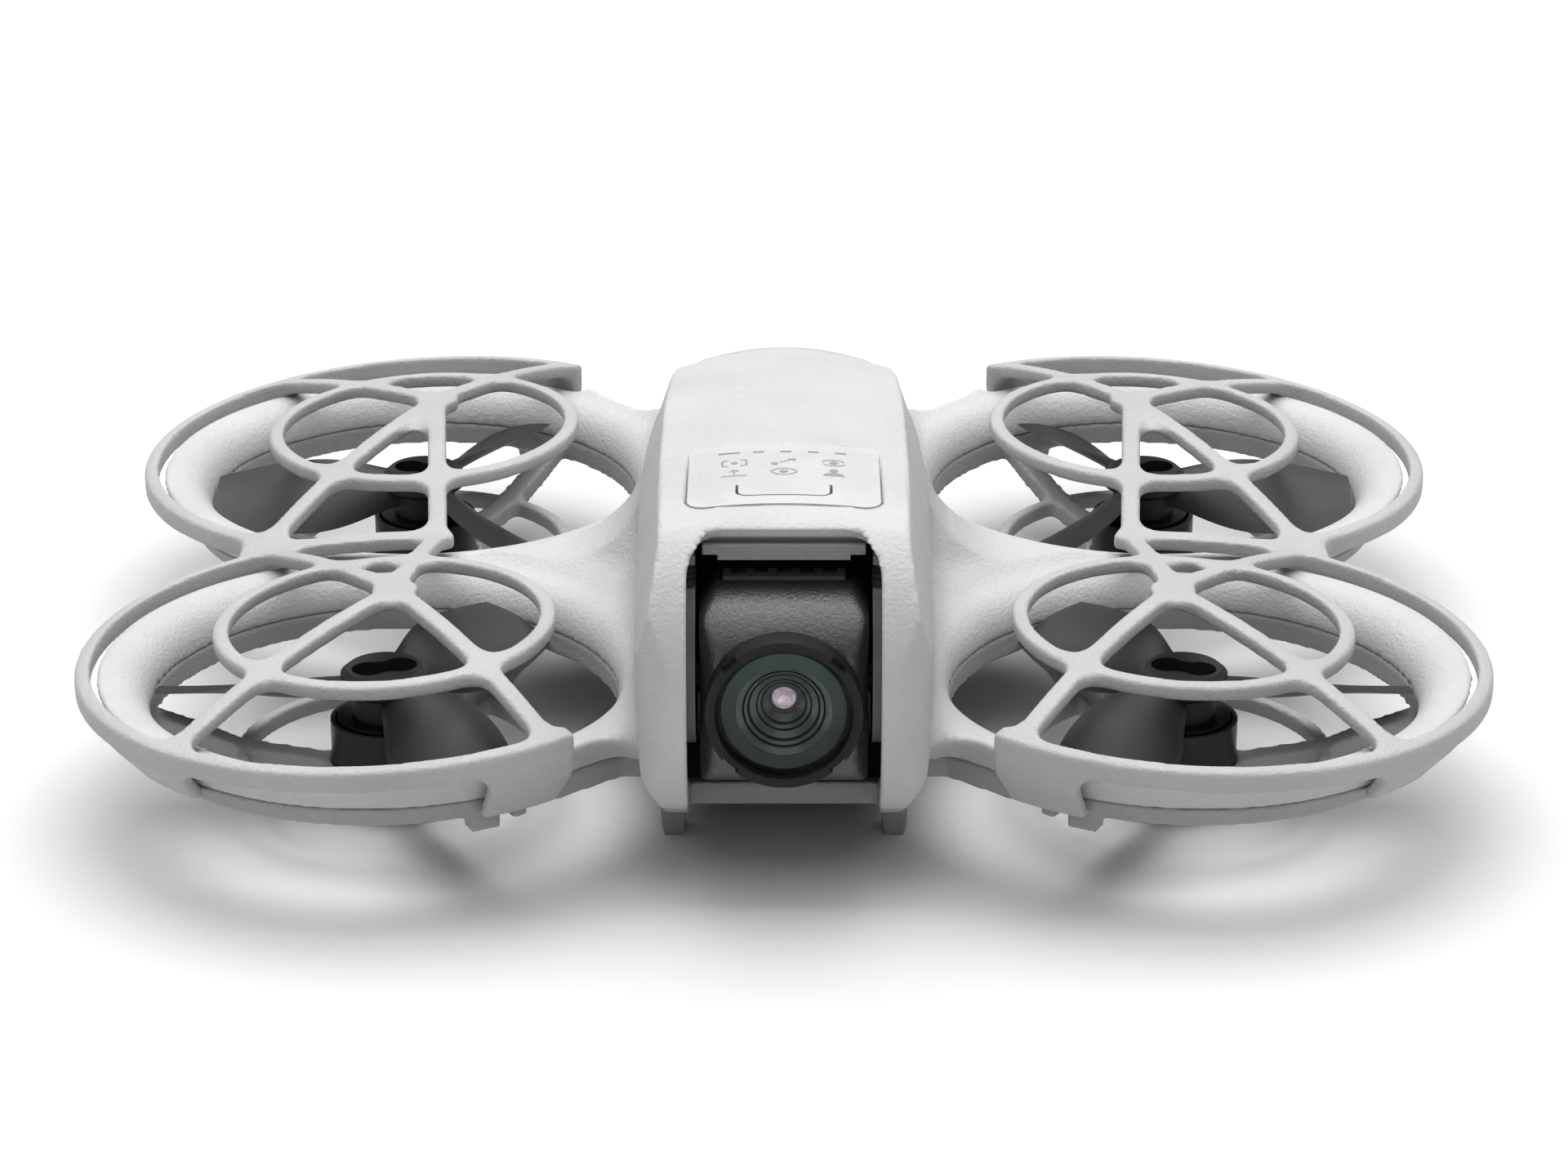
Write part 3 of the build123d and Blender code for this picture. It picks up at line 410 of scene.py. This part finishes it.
def as_piece(name, points, faces, material):
    """Blender object from points in millimetres and faces, shaded smooth."""
    mesh = bpy.data.meshes.new(name)
    mesh.vertices.add(len(points))
    mesh.vertices.foreach_set("co", (points * MM).astype(np.float32).ravel())
    corners = faces.shape[1]
    mesh.loops.add(faces.size)
    mesh.loops.foreach_set("vertex_index", faces.astype(np.int32).ravel())
    mesh.polygons.add(len(faces))
    mesh.polygons.foreach_set("loop_start", np.arange(0, faces.size, corners, dtype=np.int32))
    mesh.polygons.foreach_set("loop_total", np.full(len(faces), corners, dtype=np.int32))
    mesh.update()
    mesh.validate()
    mesh.shade_smooth()
    mesh.materials.append(material)
    piece = bpy.data.objects.new(name, mesh)
    bpy.context.scene.collection.objects.link(piece)
    return piece


def outward(points, quads):
    """Quads wound so that their normals point out of the solid."""
    a, b, c = (points[quads[:, k]].astype(np.float64) for k in range(3))
    volume = np.einsum("ij,ij->i", a, np.cross(b, c)).sum()
    return quads if volume > 0 else quads[:, ::-1]


def smoothstep(value, low, high):
    """0 below low, 1 above high, and a smooth ramp between."""
    t = np.clip((value - low) / (high - low), 0, 1)
    return t * t * (3 - 2 * t)


def everywhere(x, y, z):
    return np.ones(np.broadcast_shapes(x.shape, y.shape, z.shape), dtype=np.float32)


def outside_fuselage(x, y, z):
    """Where the shell's webs and ducts meet the flanks, clear of the window, vents and inside."""
    return smoothstep(np.abs(x), *FLANK_X) * smoothstep(y, *WINDOW_Y) * np.ones_like(z)


def soft_shell(name, node, voxel, material, radius=0, where=everywhere, blur=0):
    """Replaces a CAD node by a moulding whose concave corners are rounded where asked."""
    solid = Solid(*node_surface(node), voxel, max(radius, 1.0) + 0.6)
    field = solid.field
    if radius:
        filled = np.minimum(field, solid.closed(radius))
        field = field + (filled - field) * where(*solid.coordinates())
    points, quads = solid.surface(0.0, blurred(field.astype(np.float32), blur))
    points = relaxed(points, quads, SMOOTHING_ROUNDS)
    piece = as_piece(name, points, outward(points, quads), material)
    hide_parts(node)
    return piece


upper = soft_shell("upper_shell_moulding", "upper_shell", SHELL_VOXEL, SHELL,
                   radius=SHELL_FILLET, where=outside_fuselage)
lower = soft_shell("lower_frame_moulding", "lower_frame", SHELL_VOXEL, FRAME_PAINTED_SHADE)
guards = [soft_shell(node + "_moulding", node, GUARD_VOXEL, GUARD, radius=GUARD_FILLET, blur=GUARD_BLUR)
          for node in ("guard_left", "guard_right")]
housing = soft_shell("camera_housing_moulding", "camera_housing", HOUSING_VOXEL, DARK, blur=HOUSING_BLUR)
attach(housing, "camera")
for piece in (upper, lower, *guards):
    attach(piece, "airframe")


# ---- lens: lengths are in millimetres, depths behind the barrel's front ----
COVER_RADIUS, COVER_RISE, COVER_EDGE = 7.28, 0.5, 0.35
BARREL_RADIUS, BARREL_MOUTH = 6.6, 5.1
WELL_RADIUS, WELL_DEPTH = 1.3, 4.4
PLATE_INNER, PLATE_OUTER, PLATE_BACK, PLATE_FRONT = 5.15, 7.0, 0.02, 0.09
RING_SLOPE, RING_LIP, RING_GAP = 0.6, 0.2, 0.1
SHARP_ANGLE = math.radians(35)

# Bevelled rings inside the lens: outer radius, inner radius and depth
LENS_RINGS = ((5.1, 4.45, 0.0), (4.2, 3.9, 0.6), (3.65, 3.0, 1.1), (2.8, 2.5, 1.7), (2.25, 1.6, 2.2))


def lathe(name, profile, axis_point, material, segments=96):
    """Turned piece about an axis along Y: profile gives (radius, distance forward of the axis point)."""
    rings = np.array(profile, dtype=np.float64)
    angles = np.arange(segments) * 2 * math.pi / segments
    x = axis_point.x * PER_METRE + rings[:, None, 0] * np.cos(angles)
    z = axis_point.z * PER_METRE + rings[:, None, 0] * np.sin(angles)
    y = axis_point.y * PER_METRE - rings[:, None, 1] + 0 * angles
    points = np.stack([x, y, z], axis=-1).reshape(-1, 3)
    base = np.arange(len(rings) - 1)[:, None] * segments
    here, after = np.arange(segments), (np.arange(segments) + 1) % segments
    faces = np.stack([base + here, base + after, base + after + segments, base + here + segments], axis=-1)
    piece = as_piece(name, points, outward(points, faces.reshape(-1, 4)), material)
    edit = bmesh.new()
    edit.from_mesh(piece.data)
    bmesh.ops.remove_doubles(edit, verts=edit.verts, dist=1e-7)
    bmesh.ops.recalc_face_normals(edit, faces=edit.faces)
    edit.to_mesh(piece.data)
    edit.free()
    piece.data.set_sharp_from_angle(angle=SHARP_ANGLE)
    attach(piece, "camera")
    return piece


def dome_profile(radius, rise, edge, steps=12):
    """Section of a lens: flat back, a rim as thick as the edge, and a convex front."""
    curve = (radius * radius + rise * rise) / (2 * rise)
    reach = [radius * (1 - k / steps) for k in range(steps + 1)]
    front = [(r, edge + math.sqrt(curve * curve - r * r) - (curve - rise)) for r in reach]
    return [(0, 0), (radius, 0)] + front


def bevelled_ring(outer, inner, depth):
    """Section of a ring whose front face slopes inward."""
    foot = -depth - RING_SLOPE * (outer - inner)
    back = foot - RING_LIP
    return [(outer, -depth), (inner, foot), (inner, back), (outer, back), (outer, -depth)]


def build_lens():
    low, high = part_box("lens_glass")
    glass_back = Vector(((low.x + high.x) / 2, high.y, (low.z + high.z) / 2))
    glass = lathe("lens_cover_glass", dome_profile(COVER_RADIUS, COVER_RISE, COVER_EDGE), glass_back, GLASS)
    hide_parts("lens_glass")

    barrel_low, barrel_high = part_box("lens_barrel")
    front = Vector((glass_back.x, barrel_low.y, glass_back.z))
    barrel_back = (barrel_low.y - barrel_high.y) * PER_METRE
    outline = [(0, barrel_back), (BARREL_RADIUS, barrel_back), (BARREL_RADIUS, 0.0), (BARREL_MOUTH, 0.0)]
    for index, (outer, inner, depth) in enumerate(LENS_RINGS):
        section = bevelled_ring(outer, inner, depth)
        back = section[2][1]
        outline += [(outer, back), (inner - RING_GAP / 2, back), (inner - RING_GAP, back - RING_GAP)]
        ring = lathe(f"lens_ring_{index}", section, front, RING)
    outline += [(WELL_RADIUS, -WELL_DEPTH), (0, -WELL_DEPTH)]
    barrel = lathe("lens_barrel_rings", outline, front, BARREL)
    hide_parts("lens_barrel")

    section = [(PLATE_INNER, PLATE_BACK), (PLATE_OUTER, PLATE_BACK), (PLATE_OUTER, PLATE_FRONT),
               (PLATE_INNER, PLATE_FRONT), (PLATE_INNER, PLATE_BACK)]
    plate = lathe("lens_plate", section, front, PLATE)

    seats = (("lens_pupil", 1.3, 0.9, 3.6, PUPIL_PAINTED_GLINT), ("lens_front_element", 1.7, 0.5, 2.75, ELEMENT))
    for name, radius, rise, depth, material in seats:
        seat = Vector((front.x, front.y + depth * MM, front.z))
        element = lathe(name, dome_profile(radius, rise, 0.1), seat, material, 64)


build_lens()


# ---- printed signs on the control panel: each is drawn about its own centre ----
LINE = 0.2
COLUMN_PITCH, ROW_PITCH, FIRST_ROW = 5.4, 3.4, 13.2
SIGN_WIDTH_SCALE, SIGN_HEIGHT_SCALE = 1.18, 1.35
PRINT_LIFT = 0.00003
PRINT_THICKNESS = 0.00004


def surface_of(node_name):
    points, triangles = node_surface(node_name)
    return BVHTree.FromPolygons([Vector(p) * MM for p in points.tolist()], triangles.tolist())


def ribbon(path, width):
    """Quads along a path in the plane, as wide as asked."""
    path = [Vector(point) for point in path]
    closed_path = (path[0] - path[-1]).length < 1e-9
    sides = []
    for index, point in enumerate(path):
        before = path[index - 1] if index else (path[-2] if closed_path else point)
        after = path[index + 1] if index + 1 < len(path) else (path[1] if closed_path else point)
        along = (after - before).normalized()
        across = Vector((-along.y, along.x)) * width / 2
        sides.append((point + across, point - across))
    return [(a[0], a[1], b[1], b[0]) for a, b in zip(sides, sides[1:])]


def arc_path(centre, radius, start, stop, stretch=1.0, steps=14):
    angles = [math.radians(start + (stop - start) * k / steps) for k in range(steps + 1)]
    return [(centre[0] + radius * math.cos(a), centre[1] + radius * stretch * math.sin(a)) for a in angles]


def fan(centre, rim):
    """Thin wedges from a centre to a rim."""
    return [(centre, a, b, b) for a, b in zip(rim, rim[1:])]


def disc(centre, radius, stretch=1.0):
    return fan(centre, arc_path(centre, radius, 0, 360, stretch, 16))


def straight(start, end, width=LINE):
    middle = [tuple(Vector(start).lerp(Vector(end), k / 3)) for k in range(4)]
    return ribbon(middle, width)


def sign_frame_dot():
    """Two square brackets round a dot."""
    quads = disc((0, 0), 0.32)
    for side in (-1, 1):
        quads += ribbon([(side * 0.55, 0.75), (side * 1.05, 0.72), (side * 1.12, 0.4), (side * 1.12, -0.4),
                         (side * 1.05, -0.72), (side * 0.55, -0.75)], 0.22)
    return quads


def sign_fly_away():
    """A dot and an arrow leaving it."""
    quads = disc((-0.85, -0.5), 0.34)
    quads += straight((-0.35, -0.1), (0.9, 0.62))
    return quads + straight((0.35, 0.72), (1.0, 0.7)) + straight((0.95, 0.15), (1.0, 0.7))


def sign_orbit():
    """A dot with two arcs turning round it."""
    quads = disc((0, 0), 0.42)
    for start in (25, 205):
        quads += ribbon(arc_path((0, 0), 1.05, start, start + 140, 0.72), LINE)
    return quads


def sign_rise():
    """An arrow rising from a line."""
    quads = straight((-1.15, -0.75), (1.15, -0.75)) + straight((0, -0.35), (0, 0.7))
    return quads + straight((-0.4, 0.3), (0, 0.72)) + straight((0.4, 0.3), (0, 0.72))


def sign_spot():
    """An almond outline round a dot."""
    quads = disc((0, 0), 0.4, 0.85)
    for side in (-1, 1):
        quads += ribbon([(1.15 * math.cos(a), side * 0.78 * math.sin(a) ** 1.2)
                         for a in (math.pi * k / 14 for k in range(15))], 0.18)
    return quads


def sign_person():
    """A head over shoulders."""
    waist = (0, -0.85)
    return disc((0, 0.5), 0.42) + fan(waist, arc_path(waist, 1.0, 0, 180, 0.85))


def print_signs():
    """Signs in two rows of three, laid on the panel as a very thin print."""
    low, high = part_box("control_panel")
    ground = surface_of("control_panel")
    middle = (low.x + high.x) / 2
    rows = ((sign_frame_dot, sign_fly_away, sign_orbit), (sign_rise, sign_spot, sign_person))
    edit = bmesh.new()
    for row, signs in enumerate(rows):
        for column, sign in enumerate(signs):
            centre_x = middle + (column - 1) * COLUMN_PITCH * MM
            centre_y = low.y + (FIRST_ROW - ROW_PITCH * row) * MM
            for quad in sign():
                corners = []
                for x, y in quad:
                    above = Vector((centre_x + SIGN_WIDTH_SCALE * x * MM,
                                    centre_y + SIGN_HEIGHT_SCALE * y * MM, high.z + 0.01))
                    hit = ground.ray_cast(above, Vector((0, 0, -1)))[0]
                    if not any((hit - other.co).length < 1e-7 for other in corners):
                        corners.append(edit.verts.new(hit + Vector((0, 0, PRINT_LIFT))))
                edit.faces.new(corners)
    bmesh.ops.remove_doubles(edit, verts=edit.verts, dist=2e-6)
    bmesh.ops.recalc_face_normals(edit, faces=edit.faces)
    mesh = bpy.data.meshes.new("panel_signs")
    edit.to_mesh(mesh)
    edit.free()
    mesh.materials.append(MARK)
    signs = bpy.data.objects.new("panel_signs", mesh)
    bpy.context.scene.collection.objects.link(signs)
    thick = signs.modifiers.new("print", "SOLIDIFY")
    thick.thickness = PRINT_THICKNESS
    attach(signs, "airframe")


print_signs()


# ---- camera, floor and lights: lengths are in metres ----
CAMERA_ELEVATION = math.radians(22.4)
CAMERA_DISTANCE = 0.5515
CAMERA_TARGET = (0, 0, 0.0132)
SENSOR_WIDTH, FOCAL_LENGTH = 36.0, 107.8
FLOOR_HALF = 6.0
FLOOR_SHADES = (0.60, 0.60, 0.60), (0.64, 0.64, 0.64)
WORLD_STRENGTH = 0.14


def aim(thing, target):
    direction = Vector(target) - thing.location
    thing.rotation_euler = direction.to_track_quat("-Z", "Y").to_euler()


def add_camera():
    data = bpy.data.cameras.new("camera")
    data.sensor_width = SENSOR_WIDTH
    data.lens = FOCAL_LENGTH
    camera = bpy.data.objects.new("view", data)
    bpy.context.scene.collection.objects.link(camera)
    camera.location = (0, -CAMERA_DISTANCE * math.cos(CAMERA_ELEVATION),
                       CAMERA_DISTANCE * math.sin(CAMERA_ELEVATION) + CAMERA_TARGET[2])
    aim(camera, CAMERA_TARGET)
    bpy.context.scene.camera = camera


def add_softbox(name, location, target, width, depth, power):
    data = bpy.data.lights.new(name, "AREA")
    data.shape = "RECTANGLE"
    data.size, data.size_y = width, depth
    data.energy = power
    lamp = bpy.data.objects.new(name, data)
    bpy.context.scene.collection.objects.link(lamp)
    lamp.location = location
    aim(lamp, target)


def add_floor():
    mesh = bpy.data.meshes.new("floor")
    corners = [(x * FLOOR_HALF, y * FLOOR_HALF, 0) for x, y in ((-1, -1), (1, -1), (1, 1), (-1, 1))]
    mesh.from_pydata(corners, [], [(0, 1, 2, 3)])
    floor = bpy.data.objects.new("floor", mesh)
    bpy.context.scene.collection.objects.link(floor)
    material, nodes, links, shader = new_material("studio floor")
    shade = noise(nodes, links, 0.8, 2.0)
    links.new(mixed(nodes, links, shade, *FLOOR_SHADES), shader.inputs["Base Color"])
    shader.inputs["Roughness"].default_value = 0.9
    mesh.materials.append(material)


def set_world():
    world = bpy.data.worlds.new("studio")
    bpy.context.scene.world = world
    world.use_nodes = True
    background = world.node_tree.nodes["Background"]
    background.inputs["Color"].default_value = (1, 1, 1, 1)
    background.inputs["Strength"].default_value = WORLD_STRENGTH


add_camera()
add_floor()
set_world()
add_softbox("overhead key", (0, 0.3, 0.95), (0, 0, 0), 1.3, 1.1, 11.5)
add_softbox("ceiling", (0, 0.2, 2.4), (0, 0.2, 0), 5.0, 5.0, 120.0)
add_softbox("front fill", (0, -1.3, 0.9), (0, 0, 0.02), 1.2, 0.6, 1.6)
bpy.context.scene.view_settings.view_transform = "Standard"
